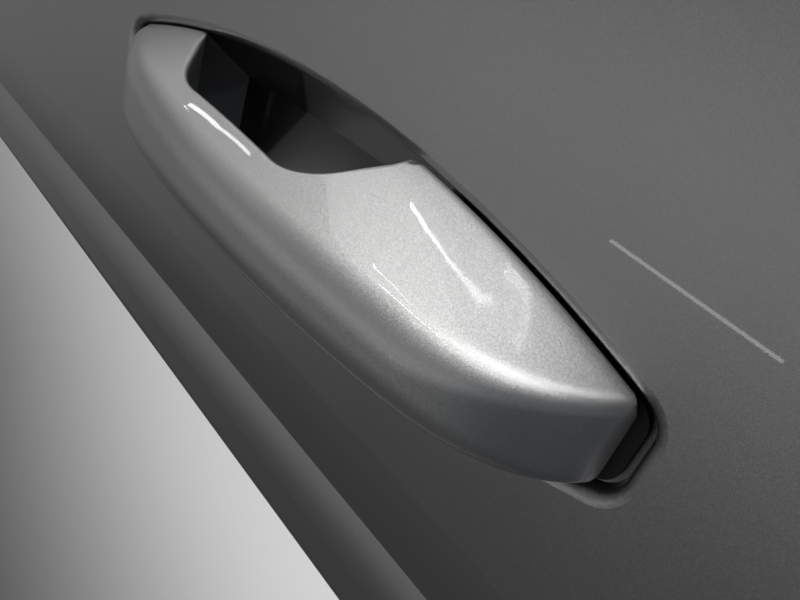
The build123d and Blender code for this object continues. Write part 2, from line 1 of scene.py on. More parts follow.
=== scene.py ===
# %% [markdown]
# # A car's pull handle in its recess
#
# The part is an outside door handle with the section of pressed door skin that it stands in.
# Blender adds what the solids lack: finishes, light, and small turned and moulded detail.

import json
from math import acos, atan2, cos, pi, radians, sin, sqrt, tan

import bmesh
import bpy
import numpy as np
from mathutils import Matrix, Vector
from mathutils.bvhtree import BVHTree


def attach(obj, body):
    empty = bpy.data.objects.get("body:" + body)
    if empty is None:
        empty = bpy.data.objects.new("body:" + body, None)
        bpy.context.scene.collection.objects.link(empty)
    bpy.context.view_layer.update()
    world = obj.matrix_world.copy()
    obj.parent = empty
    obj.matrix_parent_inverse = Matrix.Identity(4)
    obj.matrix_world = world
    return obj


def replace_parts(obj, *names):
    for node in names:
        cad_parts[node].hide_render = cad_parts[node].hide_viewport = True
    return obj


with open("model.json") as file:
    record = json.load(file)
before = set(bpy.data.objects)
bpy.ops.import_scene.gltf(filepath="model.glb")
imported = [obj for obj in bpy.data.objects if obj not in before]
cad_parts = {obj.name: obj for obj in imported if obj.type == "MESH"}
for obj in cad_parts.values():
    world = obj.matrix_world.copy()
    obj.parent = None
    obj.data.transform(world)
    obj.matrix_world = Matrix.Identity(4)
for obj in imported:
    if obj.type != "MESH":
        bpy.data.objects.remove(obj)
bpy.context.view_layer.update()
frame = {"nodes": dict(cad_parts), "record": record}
scene = bpy.context.scene
scene.view_settings.view_transform = "Standard"
nodes = frame["nodes"]
MM = 0.001

# %% [markdown]
# ## Camera
#
# The photograph was taken close to the handle's hinge end with a wide lens, from above and
# in front, and with the camera rolled. A lens of 28.5 mm on a 36 mm sensor was fitted to the
# outline of the handle. The camera is given by three directions, because a rolled view is
# easier to read as right, down and forward than as three turns.

# %% The camera at the photograph's viewing angle
SENSOR_WIDTH = 36.0
LENS = 28.54
NEAREST = 0.005
FARTHEST = 50.0
CAMERA_PLACE = Vector((0.1346, -0.1472, 0.0684))
CAMERA_RIGHT = Vector((0.640, 0.704, 0.309)).normalized()
CAMERA_DOWN = Vector((0.549, -0.138, -0.824)).normalized()
camera_forward = CAMERA_RIGHT.cross(CAMERA_DOWN).normalized()
camera_up = camera_forward.cross(-CAMERA_RIGHT)

camera = bpy.data.objects.new("camera", bpy.data.cameras.new("camera"))
camera.data.sensor_width = SENSOR_WIDTH
camera.data.lens = LENS
camera.data.clip_start = NEAREST
camera.data.clip_end = FARTHEST
scene.collection.objects.link(camera)
scene.camera = camera
turn = Matrix((CAMERA_RIGHT, camera_up, -camera_forward)).transposed()
camera.matrix_world = Matrix.Translation(CAMERA_PLACE) @ turn.to_4x4()
print("camera looks along", [round(v, 3) for v in camera_forward])

# %% [markdown]
# ## Shader maths as Python
#
# A finish is a small sum worked out at every point of a surface. Wiring Math nodes by hand
# hides that sum, so one small class wraps an output socket and lets Python's operators add
# the nodes. Every other node comes from one method, which sets the node's settings first and
# then its sockets, because some settings change which sockets there are.

# %% A wire that can be added, multiplied and taken away
class Wire:
    def __init__(self, bench, socket):
        self.bench = bench
        self.socket = socket

    def maths(self, operation, *others):
        return self.bench.maths(operation, self, *others)

    def __add__(self, other):
        return self.maths("ADD", other)

    def __mul__(self, other):
        return self.maths("MULTIPLY", other)

    def __sub__(self, other):
        return self.maths("SUBTRACT", other)

    def __rsub__(self, other):
        return self.bench.maths("SUBTRACT", other, self)

    __radd__ = __add__
    __rmul__ = __mul__

    def between(self, low, high):
        # 0 below low, 1 above high, and a smooth step from one to the other
        settings = {"interpolation_type": "SMOOTHSTEP", "clamp": True}
        return self.bench.node("MapRange", settings, {0: self, 1: low, 2: high, 3: 0.0, 4: 1.0})


# %% A bench that makes the nodes of one tree
class Bench:
    def __init__(self, tree):
        self.tree = tree
        tree.nodes.clear()

    def node(self, kind, settings, sockets, output=0):
        made = self.tree.nodes.new("ShaderNode" + kind)
        for name, value in settings.items():
            setattr(made, name, value)
        for name, value in sockets.items():
            if isinstance(value, Wire):
                self.tree.links.new(value.socket, made.inputs[name])
            else:
                made.inputs[name].default_value = value
        return Wire(self, made.outputs[output]) if made.outputs else None

    def maths(self, operation, *values):
        return self.node("Math", {"operation": operation}, dict(enumerate(values)))

    def place(self):
        # The point on the piece, in metres, which moves with the piece
        return self.node("TexCoord", {}, {}, "Object")

    def part_of(self, vector, axis):
        return self.node("SeparateXYZ", {}, {0: vector}, axis)

    def mix_colours(self, share, first, second, blend="MIX"):
        settings = {"data_type": "RGBA", "blend_type": blend}
        return self.node("Mix", settings, {0: share, 6: first, 7: second}, 2)

    def vectors(self, operation, first, second=(0.0, 0.0, 0.0)):
        # All take a second vector, but SCALE takes a number
        socket = "Scale" if operation == "SCALE" else 1
        return self.node("VectorMath", {"operation": operation}, {0: first, socket: second}, "Vector")


def grey(value):
    return (value, value, value, 1.0)


# %% A finish is one material with one principled shader
FINISHES = {}


def start_finish(name):
    material = bpy.data.materials.new(name)
    material.use_nodes = True
    FINISHES[name] = material
    return Bench(material.node_tree)


def end_finish(bench, constants, varying):
    # Constants hold all over the piece, and what varies over it comes by wire
    shader = bench.node("BsdfPrincipled", {}, {**constants, **varying})
    bench.node("OutputMaterial", {}, {"Surface": shader})
    print("finish", list(FINISHES)[-1], "has", len(bench.tree.nodes), "nodes")


# %% [markdown]
# ## Metallic paint
#
# Both painted pieces have the same build: a coat of aluminium flakes in tinted lacquer, under
# a clear lacquer. Each flake is a tiny mirror that lies nearly flat. Seen from near it is a
# separate bright grain, and from afar the flakes together blur the reflection, while the
# lacquer on top stays as sharp as glass. A Voronoi texture has one random colour for each
# cell, so it serves as the flakes: it tilts the metal's normal and varies its brightness.
# The clear coat keeps the smooth normal.

# %% Flakes in lacquer
FLAKE_SIZE = 0.14 * MM
CLOUD_SCALE = 35.0
CLOUD_DEPTH = 0.06
LACQUER = {"Coat Roughness": 0.02, "Coat IOR": 1.5}


def noise_of(bench, place, scale, detail, stretch=None):
    # Noise, finer along the axes with a larger stretch
    if stretch:
        place = bench.vectors("MULTIPLY", place, stretch)
    return bench.node("TexNoise", {}, {"Vector": place, "Scale": scale, "Detail": detail}, "Fac")


def flaked(bench, place, colour, tilt, sparkle):
    # The colour of the coat of flakes, and the normal that they tilt
    flakes = bench.node(
        "TexVoronoi", {"voronoi_dimensions": "3D", "feature": "F1"},
        {"Vector": place, "Scale": 1.0 / FLAKE_SIZE, "Randomness": 1.0}, "Color",
    )
    leaning = bench.vectors("SUBTRACT", flakes, (0.5, 0.5, 0.5))
    leaning = bench.vectors("SCALE", leaning, tilt)
    smooth = bench.node("NewGeometry", {}, {}, "Normal")
    normal = bench.vectors("NORMALIZE", bench.vectors("ADD", smooth, leaning))
    red = bench.node("SeparateColor", {}, {0: flakes}, 0)
    cloud = noise_of(bench, place, CLOUD_SCALE, 2.0)
    level = 1.0 - sparkle / 2 + red * sparkle + (cloud - 0.5) * CLOUD_DEPTH
    tint = bench.node("CombineColor", {}, {0: level, 1: level, 2: level}, 0)
    return bench.mix_colours(1.0, (*colour, 1.0), tint, "MULTIPLY"), normal


# %% The handle's paint
bench = start_finish("handle_paint")
base, normal = flaked(bench, bench.place(), (0.66, 0.655, 0.65), tilt=0.14, sparkle=0.22)
end_finish(
    bench, {**LACQUER, "Metallic": 1.0, "Coat Weight": 1.0, "Roughness": 0.47},
    {"Base Color": base, "Normal": normal},
)

# %% [markdown]
# ## The skin's paint
#
# The skin has the same paint, a little darker, with two differences. The far third of the bowl
# and the ledge at the hinge end are painted nearly black as painted shade, for the shadow and
# dark reflection under the grip, and smooth steps along each axis mark those places out. On its
# inner side a door has only dull primer that ran a little as it dried, so that side loses metal
# and lacquer.

# %% Painted shade under the handle
RECESS_EDGE_Z = (31.0 * MM, 33.0 * MM)
BELOW_RIM_Y = (-36.8 * MM, -35.2 * MM)
FAR_THIRD_X = (-36.0 * MM, -34.0 * MM)
FAR_THIRD_LEAN = 0.75
NEAR_LEDGE_X = (50.0 * MM, 54.0 * MM)
NEAR_LEDGE_Z = (-8.0 * MM, 8.0 * MM)
LOWER_LEDGE_SHADE = 0.6
PAINTED_SHADE_DEPTH = 0.74


def painted_shade_in_recess(bench, place):
    # 0 where the skin is silver, and more where painted shade darkens it
    x, y, z = (bench.part_of(place, axis) for axis in "XYZ")
    within = 1.0 - z.maths("ABSOLUTE").between(*RECESS_EDGE_Z)
    deep = y.between(*BELOW_RIM_Y) * within
    far_part = 1.0 - (x - z * FAR_THIRD_LEAN).between(*FAR_THIRD_X)
    # Painted shade: the ledge above the grip is darkened fully and the ledge below less, because less
    # light reaches the upper side
    higher = LOWER_LEDGE_SHADE + z.between(*NEAR_LEDGE_Z) * (1.0 - LOWER_LEDGE_SHADE)
    near_ledge = x.between(*NEAR_LEDGE_X) * higher
    return deep * far_part.maths("MAXIMUM", near_ledge) * PAINTED_SHADE_DEPTH


# %% Silver outside, primer inside
SKIN_ROUGHNESS = 0.40
PRIMER = (0.19, 0.2, 0.2, 1.0)
PRIMER_CHALKED = grey(0.2128)
PRIMER_ROUGHNESS = 0.55

bench = start_finish("skin_paint")
place = bench.place()
base, normal = flaked(bench, place, (0.45, 0.45, 0.46), tilt=0.10, sparkle=0.16)
# Painted shade: the recess is darkened towards near black where the grip shades it
base = bench.mix_colours(painted_shade_in_recess(bench, place), base, grey(0.03))
facing = bench.node("TexCoord", {}, {}, "Normal")
inner = bench.part_of(facing, "Y").between(0.15, 0.45)
runs = noise_of(bench, place, 60.0, 3.0, stretch=(1.0, 1.0, 0.25))
primer = bench.mix_colours(runs.between(0.3, 0.7), PRIMER, PRIMER_CHALKED)
painted = 1.0 - inner
end_finish(bench, LACQUER, {
    "Base Color": bench.mix_colours(inner, base, primer),
    "Metallic": painted,
    "Coat Weight": painted,
    "Roughness": SKIN_ROUGHNESS + inner * (PRIMER_ROUGHNESS - SKIN_ROUGHNESS + (runs - 0.5) * 0.15),
    "Normal": normal,
})

# %% [markdown]
# ## Black plastic of the carrier
#
# The carrier is moulded from nylon with glass fibres, which stays stiff when the handle is
# pulled hard. Its mould is spark-eroded, so the surface has a fine pebbled grain, and the short
# fibres under the skin show as faint grey streaks along the flow. A fine round noise gives the
# grain, a long one the streaks, and a broad one the patches where more fibre shows.

# %% Glass-filled plastic
BLACK_NYLON = (0.027, 0.027, 0.029, 1.0)
FIBRE_GREY = (0.052, 0.052, 0.054, 1.0)


def bumped(bench, height, distance):
    return bench.node("Bump", {}, {"Height": height, "Distance": distance, "Strength": 1.0})


bench = start_finish("carrier_plastic")
place = bench.place()
grain = noise_of(bench, place, 2400.0, 2.0)
streaks = noise_of(bench, place, 900.0, 3.0, stretch=(0.12, 1.0, 1.0))
patches = noise_of(bench, place, 45.0, 3.0)
fibre = streaks.between(0.5, 0.75) * 0.5 + patches.between(0.45, 0.8) * 0.35
end_finish(
    bench, {"Metallic": 0.0},
    {
        "Base Color": bench.mix_colours(fibre, BLACK_NYLON, FIBRE_GREY),
        "Roughness": 0.46 + patches * 0.12 + grain * 0.08,
        "Normal": bumped(bench, grain, 0.03 * MM),
    },
)

# %% [markdown]
# ## Rubber of the gaskets
#
# The two gaskets are pressed from black rubber. It is nearly matt, with the very fine grain of
# its mould and a grey bloom where wax has come to the surface, mostly in broad patches.

# %% Moulded rubber
bench = start_finish("gasket_rubber")
place = bench.place()
grain = noise_of(bench, place, 3200.0, 2.0)
bloom = noise_of(bench, place, 110.0, 4.0)
end_finish(
    bench, {"Metallic": 0.0},
    {
        "Base Color": bench.mix_colours(bloom.between(0.5, 0.8), grey(0.012), grey(0.024)),
        "Roughness": 0.66 + bloom * 0.2,
        "Normal": bumped(bench, grain, 0.015 * MM),
    },
)

# %% [markdown]
# ## Cast zinc
#
# The crank and its weight are pressure cast in zinc. The metal chills as it runs along the die,
# which leaves dull and bright swirls and an orange-peel skin. The swirls come from a noise
# whose place is first pushed about by a second noise.

# %% Die-cast zinc, as cast
BRIGHT_ZINC = (0.55, 0.555, 0.56, 1.0)
DULL_ZINC = (0.40, 0.40, 0.395, 1.0)

bench = start_finish("cast_zinc")
place = bench.place()
push = bench.node("TexNoise", {}, {"Vector": place, "Scale": 70.0, "Detail": 1.0}, "Color")
pushed = bench.vectors("ADD", place, bench.vectors("SCALE", push, 12.0 * MM))
flow = noise_of(bench, pushed, 120.0, 4.0, stretch=(1.0, 1.0, 0.5))
peel = noise_of(bench, place, 1300.0, 2.0)
end_finish(
    bench, {"Metallic": 1.0},
    {
        "Base Color": bench.mix_colours(flow.between(0.35, 0.7), BRIGHT_ZINC, DULL_ZINC),
        "Roughness": 0.34 + flow * 0.22,
        "Normal": bumped(bench, peel, 0.04 * MM),
    },
)

# %% [markdown]
# ## Zinc-plated steel
#
# Studs, nuts and pins are steel with a thin zinc plate, passivated in a bath that leaves a
# faint play of blue and straw. The plate itself has a frosty grain. The tint changes slowly
# over a piece, so it is a broad noise between the two colours.

# %% Zinc plate
BLUE_ZINC = (0.56, 0.60, 0.66, 1.0)
STRAW_ZINC = (0.66, 0.62, 0.50, 1.0)

bench = start_finish("plated_steel")
place = bench.place()
tint = noise_of(bench, place, 260.0, 1.0)
frost = noise_of(bench, place, 4000.0, 2.0)
end_finish(
    bench, {"Metallic": 1.0},
    {
        "Base Color": bench.mix_colours(tint.between(0.35, 0.65), BLUE_ZINC, STRAW_ZINC),
        "Roughness": 0.26 + frost * 0.14,
        "Normal": bumped(bench, frost, 0.006 * MM),
    },
)

# %% [markdown]
# ## Oiled spring wire
#
# The spring is drawn wire, tempered in oil. Tempering leaves it blue-brown to grey, and a film
# of oil shines over it in patches, which is what the coat stands for.

# %% Tempered wire under oil
BLUE_TEMPER = (0.22, 0.23, 0.26, 1.0)
BROWN_TEMPER = (0.30, 0.26, 0.21, 1.0)

bench = start_finish("spring_steel")
place = bench.place()
temper = noise_of(bench, place, 180.0, 2.0)
drawn = noise_of(bench, place, 2600.0, 2.0, stretch=(0.1, 1.0, 1.0))
end_finish(
    bench, {"Metallic": 1.0, "Coat Roughness": 0.08},
    {
        "Base Color": bench.mix_colours(temper.between(0.35, 0.65), BLUE_TEMPER, BROWN_TEMPER),
        "Roughness": 0.3 + drawn * 0.15,
        "Coat Weight": temper.between(0.4, 0.6) * 0.8,
        "Normal": bumped(bench, drawn, 0.006 * MM),
    },
)

# %% [markdown]
# ## Turned brass
#
# The inserts are turned from brass bar, so their faces carry fine rings about the screw's
# axis. The rings follow the distance from the nearer of the two axes, which a mirrored X gives
# for both at once. A little tarnish browns the metal between them.

# %% Brass with a turner's rings
INSERT_X = 52.0
RING_PITCH = 0.12
BRIGHT_BRASS = (0.72, 0.55, 0.26, 1.0)
BROWN_BRASS = (0.46, 0.32, 0.14, 1.0)

bench = start_finish("insert_brass")
place = bench.place()
sideways = bench.part_of(place, "X").maths("ABSOLUTE") - INSERT_X * MM
upright = bench.part_of(place, "Z")
radius = (sideways * sideways + upright * upright).maths("SQRT")
rings = (radius * (2 * pi / (RING_PITCH * MM))).maths("SINE") * 0.5 + 0.5
tarnish = noise_of(bench, place, 420.0, 3.0)
end_finish(
    bench, {"Metallic": 1.0},
    {
        "Base Color": bench.mix_colours(tarnish.between(0.4, 0.75), BRIGHT_BRASS, BROWN_BRASS),
        "Roughness": 0.2 + tarnish * 0.2,
        "Normal": bumped(bench, rings, 0.004 * MM),
    },
)

# %% [markdown]
# ## Finishes on the solids
#
# Each CAD solid keeps its mesh and gets its finish in its material slot. The names of the
# slots come from the part's record.

# %% Each solid gets its finish
SLOT_OF = {row["node"]: row["material_slot"] for row in frame["record"]["subparts"]}
for name, slot in SLOT_OF.items():
    for holder in nodes[name].material_slots:
        holder.material = FINISHES[slot]
    print(name, "has", len(nodes[name].material_slots), "slots of", slot)


# %% [markdown]
# ## The grip
#
# The handle itself is a one-piece moulding, painted like the car's bright trim. Its shape is
# three curves: a bow seen from above, a leaf where it grows out of the skin, and a narrow bar
# at its crest. The CAD solid has the same curves, with one rounding of constant radius along
# the crest. On the real handle that rounding gets smaller towards both tips, so that the
# crest ends in a crisp corner at the skin. A rounding that changes along an edge is easy in a
# grid of points: each station along the bow gets its own section, as ribs give a hull.

# %% Curves of the grip, in millimetres, from the skin's outer face
SKIN_Y = -38.0
ROOT_DEPTH = 1.0

# The bow's centre and radius, and the tighter bend that takes over towards the far end
BOW = ((28.0, 353.1), 386.0)
BEND_X = -55.0
BEND_R = 130.0

# The nose at each end: where it ends, its radius and its side
FAR_NOSE = (-112.5, 35.0, -1)
NEAR_NOSE = (113.7, 46.0, 1)
FAR_STATIONS, BEND_STATIONS, BOW_STATIONS, NEAR_STATIONS = 44, 22, 70, 60


def on_arc(centre, radius, x):
    return x, centre[1] - sqrt(radius ** 2 - (x - centre[0]) ** 2)


def nose_of(centre, radius, end_x, nose_radius, side):
    # A small arc that rolls inside a large one: its centre, where they join, and its end
    x = end_x - side * nose_radius
    x, y = on_arc(centre, radius - nose_radius, x)
    share = radius / (radius - nose_radius)
    join = (centre[0] + (x - centre[0]) * share, centre[1] + (y - centre[1]) * share)
    end = (x + side * sqrt(nose_radius ** 2 - (ROOT_DEPTH - y) ** 2), ROOT_DEPTH)
    return (x, y), join, end


def arc_run(centre, radius, start, end, count):
    # Points along an arc with the direction that faces out of it
    first, last = (atan2(p[1] - centre[1], p[0] - centre[0]) for p in (start, end))
    first -= 2 * pi if first > pi / 2 else 0.0
    run = []
    for i in range(count):
        angle = first + (last - first) * i / count
        out = (cos(angle), sin(angle))
        run.append(((centre[0] + radius * out[0], centre[1] + radius * out[1]), out))
    return run


bend_start = on_arc(*BOW, BEND_X)
bend_share = 1 - BEND_R / BOW[1]
bend_centre = tuple(c + (j - c) * bend_share for c, j in zip(BOW[0], bend_start))
near_centre, near_join, near_end = nose_of(*BOW, *NEAR_NOSE)
far_centre, far_join, far_end = nose_of(bend_centre, BEND_R, *FAR_NOSE)
stations = (
    arc_run(far_centre, FAR_NOSE[1], far_end, far_join, FAR_STATIONS)
    + arc_run(bend_centre, BEND_R, far_join, bend_start, BEND_STATIONS)
    + arc_run(*BOW, bend_start, near_join, BOW_STATIONS)
    + arc_run(near_centre, NEAR_NOSE[1], near_join, near_end, NEAR_STATIONS)
)
print(len(stations), "stations along the bow, from x", round(far_end[0], 1), "to", round(near_end[0], 1))

# %% [markdown]
# ## The finger gap
#
# Four fingers pass behind the grip, through a gap that the mould's core leaves. Seen from
# above, its edge is a line with four corners, the inner two of them rounded. It is kept as a
# row of points, because a section only asks how far out the inner face stands at some X. A
# search by halves then finds how deep the grip is, straight inwards from the bow.

# %% The finger gap seen from above
GAP_CORNERS = ((-61.3, 1.0), (-38.3, -17.2), (26.0, -20.7), (39.4, 1.0))
GAP_ROUNDING = (0.0, 30.0, 18.0, 0.0)
CORNER_STEPS = 14
DEEPEST = 60.0
HALVINGS = 40


def rounded_line(corners, radii):
    # The corners joined by straight runs, each corner rounded by its radius
    line = [Vector(corners[0])]
    for i in range(1, len(corners) - 1):
        corner = Vector(corners[i])
        back = (Vector(corners[i - 1]) - corner).normalized()
        ahead = (Vector(corners[i + 1]) - corner).normalized()
        half = back.angle(ahead) / 2
        centre = corner + (back + ahead).normalized() * (radii[i] / sin(half))
        start = corner + back * (radii[i] / tan(half)) - centre
        end = corner + ahead * (radii[i] / tan(half)) - centre
        first = atan2(start.y, start.x)
        sweep = (atan2(end.y, end.x) - first + pi) % (2 * pi) - pi
        for k in range(CORNER_STEPS + 1):
            angle = first + sweep * k / CORNER_STEPS
            line.append(centre + radii[i] * Vector((cos(angle), sin(angle))))
    line.append(Vector(corners[-1]))
    return line


gap_line = rounded_line(GAP_CORNERS, GAP_ROUNDING)
print("finger gap from x", round(gap_line[0].x, 1), "to", round(gap_line[-1].x, 1))


def inside_face(x):
    # How far out the grip's inner face stands at this x
    for first, second in zip(gap_line, gap_line[1:]):
        if first.x <= x <= second.x:
            return first.y + (second.y - first.y) * (x - first.x) / (second.x - first.x)
    return ROOT_DEPTH


def depth_behind(point, inward):
    # Distance from the bow to the inner face, straight inwards
    low, high = 0.0, DEEPEST
    for _ in range(HALVINGS):
        middle = (low + high) / 2
        x = point[0] + inward[0] * middle
        y = point[1] + inward[1] * middle
        low, high = (middle, high) if y < inside_face(x) else (low, middle)
    return low


# %% [markdown]
# ## Flank and crest
#
# The top of the grip is a ruled flank: straight lines run from the leaf at the skin to the bar
# at the crest, each slanted a little towards the hinge. A height for any place follows from
# those two outlines, so no surface has to be fitted. The rounding of the crest is a short
# table along X, since it was judged at a few places of the photograph.

# %% Height of the flank and radius of the crest
LEAF_MID_X = 0.5
LEAF_HALF_Z = 28.1
LEAF_ARC_R = 362.0
BAR_REACH = 37.0
BAR_MID_X = 40.0
BAR_HALF_Z = 5.7
BAR_ARC_R = 2600.0

# How far a ruling slants along X: most at the far end, and less by this much at the near end
SLANT_FAR = 14.5
SLANT_LOSS = 10.7
FAR_X = -112.5
LEAF_LENGTH = 224.7

CREST_ROUNDING = (
    (-106, 5.5), (-98, 6.0), (-85, 8.0), (-60, 9.5), (-20, 10.5),
    (78, 10.5), (92, 7.6), (104, 5.0), (112, 3.8),
)


def flank_height(x, y):
    # A straight rule from the leaf at the skin to the bar at the crest
    share = -y / BAR_REACH
    slant = SLANT_FAR - SLANT_LOSS * (x - FAR_X) / LEAF_LENGTH
    root_x = x - share * slant
    root = LEAF_HALF_Z - LEAF_ARC_R + sqrt(LEAF_ARC_R ** 2 - (root_x - LEAF_MID_X) ** 2)
    bar = BAR_HALF_Z - (x - BAR_MID_X) ** 2 / (2 * BAR_ARC_R)
    return root + (bar - root) * share


def from_table(table, x):
    for (x0, v0), (x1, v1) in zip(table, table[1:]):
        if x <= x1:
            share = min(max((x - x0) / (x1 - x0), 0.0), 1.0)
            return v0 + (v1 - v0) * share
    return table[-1][1]


print("flank at x 0 falls from", round(flank_height(0, 0), 1), "to", round(flank_height(0, -BAR_REACH), 1))

# %% [markdown]
# ## One section of the grip
#
# A section is a row of points across the grip: half the outer wall, the rounded crest, the
# flank, the edge of the gap and half the inner wall, then the same mirrored below. All
# sections have the same number of points, so that neighbours join into four-sided faces.
# Where there is no room for a flank its points fall together, and they are merged later.

# %% Points across the grip at one station
ARC_STEPS = 10
FLANK_STEPS = 14
EDGE_STEPS = 4
WALL_STEPS = 3
GAP_ROUND_R = 1.2
EDGE_FADE = 3.0
EDGE_SHARE = 0.2
PROBE_SHARE = 0.7
SHORTEST_PROBE = 0.5
SHORTEST_FLANK = 0.05


def half_section(point, out):
    # From the middle of the outer wall, over the top, to the middle of the inner wall
    inward = (-out[0], -out[1])
    depth = depth_behind(point, inward)

    def height(distance):
        return flank_height(point[0] + inward[0] * distance, point[1] + inward[1] * distance)

    reach = -inside_face(point[0] + inward[0] * depth)
    fade = min(max((reach + ROOT_DEPTH) / EDGE_FADE, 0.0), 1.0)
    edge = min(GAP_ROUND_R * fade, EDGE_SHARE * depth)
    radius = from_table(CREST_ROUNDING, point[0])
    probe = min(PROBE_SHARE * radius, max(depth, SHORTEST_PROBE))
    rise = (height(probe) - height(0.0)) / probe
    centre_z = height(0.0) + rise * radius - radius * sqrt(1 + rise ** 2)
    half = [(0.0, centre_z * k / WALL_STEPS) for k in range(WALL_STEPS)]
    last = pi / 2 + atan2(rise, 1)
    if radius * (1 + cos(last)) > depth - edge:
        last = pi - acos(1 - (depth - edge) / radius)
    for k in range(ARC_STEPS + 1):
        angle = pi + (last - pi) * k / ARC_STEPS
        half.append((radius + radius * cos(angle), centre_z + radius * sin(angle)))
    start, top = half[-1]
    tilt = atan2(height(depth) - height(depth - probe), probe)
    end = depth - edge * (1 + sin(tilt))
    if end > start + SHORTEST_FLANK:
        for k in range(1, FLANK_STEPS):
            distance = start + (end - start) * k / FLANK_STEPS
            half.append((distance, height(distance)))
        top = height(depth - edge)
    else:
        half += [half[-1]] * (FLANK_STEPS - 1)
    centre_z = top - edge / cos(tilt)
    for k in range(EDGE_STEPS + 1):
        angle = pi / 2 + tilt - (pi / 2 + tilt) * k / EDGE_STEPS
        half.append((depth - edge + edge * cos(angle), centre_z + edge * sin(angle)))
    half += [(depth, centre_z * (1 - k / WALL_STEPS)) for k in range(1, WALL_STEPS)]
    return half, inward


def whole_section(point, out):
    half, inward = half_section(point, out)
    full = half + [(half[-1][0], 0.0)] + [(d, -z) for d, z in reversed(half[1:])]
    return [
        Vector((point[0] + inward[0] * d, point[1] + inward[1] * d + SKIN_Y, z)) * MM
        for d, z in full
    ]


print("each section has", len(whole_section(*stations[0])), "points")

# %% [markdown]
# ## Pieces from points
#
# Every piece that is added here starts as a list of points and faces. One helper merges double
# points, turns the faces outwards, smooths all but true corners and gives the finish. It
# counts open edges, because a closed body should have none.

# %% A piece from points and faces
SHARP_CORNER = radians(38)
MERGE_WITHIN = 2e-6
SHORTEST_EDGE = 1e-6


def new_piece(name, body, slot, vertices, faces):
    mesh = bpy.data.meshes.new(name)
    mesh.from_pydata([tuple(v) for v in vertices], [], faces)
    work = bmesh.new()
    work.from_mesh(mesh)
    bmesh.ops.remove_doubles(work, verts=work.verts, dist=MERGE_WITHIN)
    bmesh.ops.dissolve_degenerate(work, edges=work.edges, dist=SHORTEST_EDGE)
    bmesh.ops.recalc_face_normals(work, faces=work.faces)
    for edge in work.edges:
        edge.smooth = edge.is_manifold and edge.calc_face_angle(0.0) < SHARP_CORNER
    for face in work.faces:
        face.smooth = True
    open_edges = sum(not edge.is_manifold for edge in work.edges)
    work.to_mesh(mesh)
    work.free()
    mesh.materials.clear()
    mesh.materials.append(FINISHES[slot])
    piece = bpy.data.objects.new(name, mesh)
    scene.collection.objects.link(piece)
    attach(piece, body)
    print(name, "on", body, "faces", len(mesh.polygons), "open edges", open_edges)
    return piece


# %% [markdown]
# ## The grip's body and roots
#
# The sections are joined like a hull's ribs. Behind the skin, the lug for the hinge and the
# tail for the crank are plain forms that the CAD model has already. Their faces are taken
# over, and each is closed a little way inside the body. The result stands in for the CAD grip.

# %% The grip's body and what stands behind its roots
OVERLAP = 1.5
WELD_WITHIN = 1e-6
ROOT_SLACK = 1e-5
near_out = (near_end[0] - near_centre[0], near_end[1] - near_centre[1])
near_out = tuple(value / NEAR_NOSE[1] for value in near_out)
sections = [whole_section(*station) for station in stations + [(near_end, near_out)]]
ring = len(sections[0])
grip_points = [point for section in sections for point in section]
grip_faces = [
    (i * ring + k, i * ring + (k + 1) % ring, (i + 1) * ring + (k + 1) % ring, (i + 1) * ring + k)
    for i in range(len(sections) - 1) for k in range(ring)
]


def behind_roots(points, faces):
    # The CAD solid's faces behind the root, with their open rims drawn out into the body
    root_y = (SKIN_Y + ROOT_DEPTH) * MM
    work = bmesh.new()
    work.from_mesh(nodes["grip"].data)
    bmesh.ops.remove_doubles(work, verts=work.verts, dist=WELD_WITHIN)
    outside = [face for face in work.faces if face.calc_center_median().y < root_y + ROOT_SLACK]
    bmesh.ops.delete(work, geom=outside, context="FACES")
    rim = [edge for edge in work.edges if edge.is_boundary]
    grown = bmesh.ops.extrude_edge_only(work, edges=rim)["geom"]
    for item in grown:
        if isinstance(item, bmesh.types.BMVert):
            item.co.y -= OVERLAP * MM
    bmesh.ops.holes_fill(work, edges=[e for e in work.edges if e.is_boundary], sides=0)
    work.verts.index_update()
    start = len(points)
    points += [Vector(vertex.co) for vertex in work.verts]
    faces += [tuple(start + vertex.index for vertex in face.verts) for face in work.faces]
    work.free()


behind_roots(grip_points, grip_faces)
grip_piece = new_piece("grip_moulding", "handle", "handle_paint", grip_points, grip_faces)
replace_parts(grip_piece, "grip")

# %% [markdown]
# ## Turned pieces
#
# Studs, nuts, inserts and pins all come off a lathe, so one helper makes them: rows of
# distance along the axis and radius, turned about it. A second function may change the radius
# with the angle, which is enough for a thread, a hexagon and a knurl. A thread is a ramp that
# climbs one pitch for each turn.

# %% A body turned about an axis
AXES = {
    "X": (Vector((1, 0, 0)), Vector((0, 1, 0)), Vector((0, 0, 1))),
    "Y": (Vector((0, 1, 0)), Vector((0, 0, 1)), Vector((1, 0, 0))),
    "Z": (Vector((0, 0, 1)), Vector((1, 0, 0)), Vector((0, 1, 0))),
}


def turned(points, faces, centre, axis, rows, steps=48, shape=None, bored=False):
    # Rows of (along, radius) in millimetres; a bored body's rows run round its section
    ahead, side, up = AXES[axis]
    start = len(points)
    for along, radius in rows:
        for k in range(steps):
            angle = 2 * pi * k / steps
            reach = shape(angle, along, radius) if shape else radius
            outward = side * (reach * cos(angle)) + up * (reach * sin(angle))
            points.append((Vector(centre) + ahead * along + outward) * MM)
    count = len(rows)
    for i in range(count if bored else count - 1):
        first = start + i * steps
        second = start + (i + 1) % count * steps
        faces += [
            (first + k, first + (k + 1) % steps, second + (k + 1) % steps, second + k)
            for k in range(steps)
        ]
    if not bored:
        faces.append(tuple(start + k for k in range(steps)))
        faces.append(tuple(start + (count - 1) * steps + k for k in range(steps)))


def thread(angle, along, pitch):
    # 0 at the root, 1 at the crest of a thread with flat tops
    turn = (along / pitch - angle / (2 * pi)) % 1.0
    return min(max(abs(2.0 * turn - 1.0) * 1.5 - 0.2, 0.0), 1.0)


def run(start, end, step, radius):
    count = int(round(abs(end - start) / step))
    return [(start + (end - start) * i / count, radius) for i in range(count + 1)]


